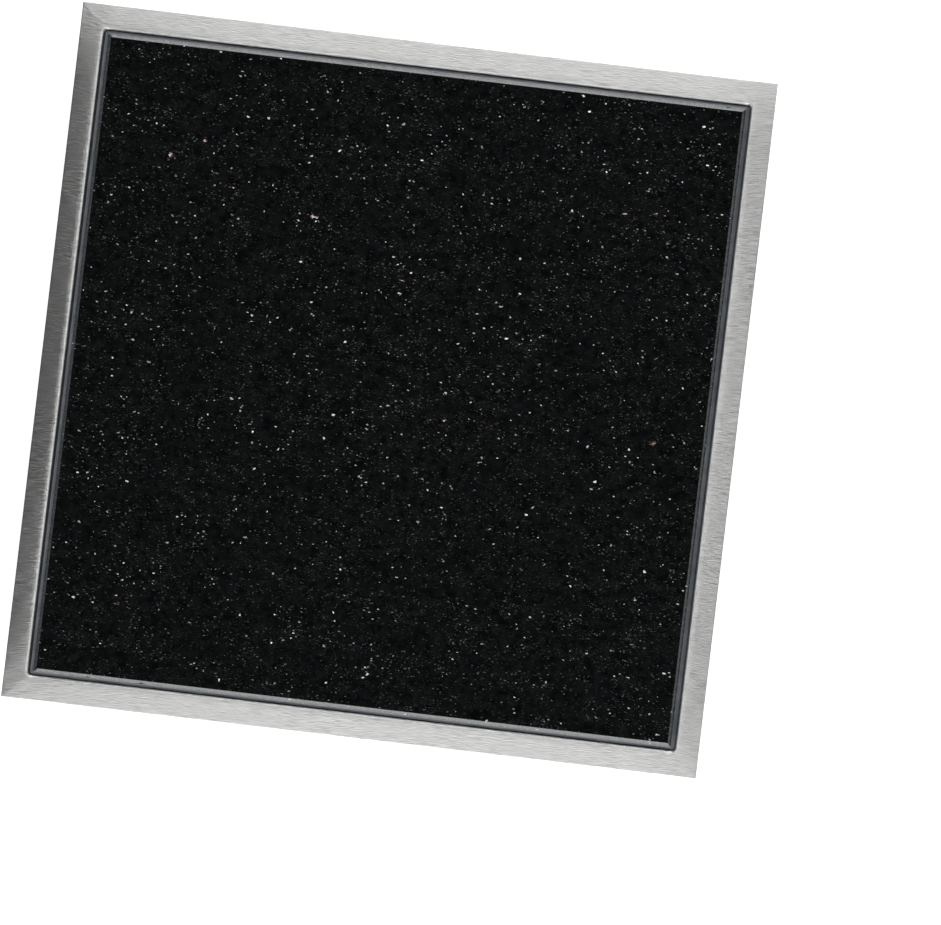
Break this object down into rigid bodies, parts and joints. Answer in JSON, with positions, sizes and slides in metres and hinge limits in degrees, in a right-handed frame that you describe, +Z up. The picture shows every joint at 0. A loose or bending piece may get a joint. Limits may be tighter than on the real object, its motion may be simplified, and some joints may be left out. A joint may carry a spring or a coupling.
{
  "type": "granite slab",
  "caption": "Square slab of polished black granite bonded into a shallow pressed steel tray with a flat hemmed rim; a hard, flat, heavy surface for tooling, stamping and skiving leather",
  "frame": {"origin": "middle of the underside of the tray's flat bottom, the face that rests on the bench", "axes": "+Z up, out of the polished face; +X along the brushing of the steel; +Y across it"},
  "size_m": [0.3322, 0.3322, 0.0126],
  "materials": {
    "brushed_stainless": "satin",
    "black_granite": "polished",
    "set_adhesive": "matte",
    "grey_sealant": "satin"
  },
  "bodies": {
    "root": {"steel_tray": "brushed_stainless", "granite_slab": "black_granite", "adhesive_bed": "set_adhesive", "edge_sealant": "grey_sealant"}
  },
  "joints": []
}
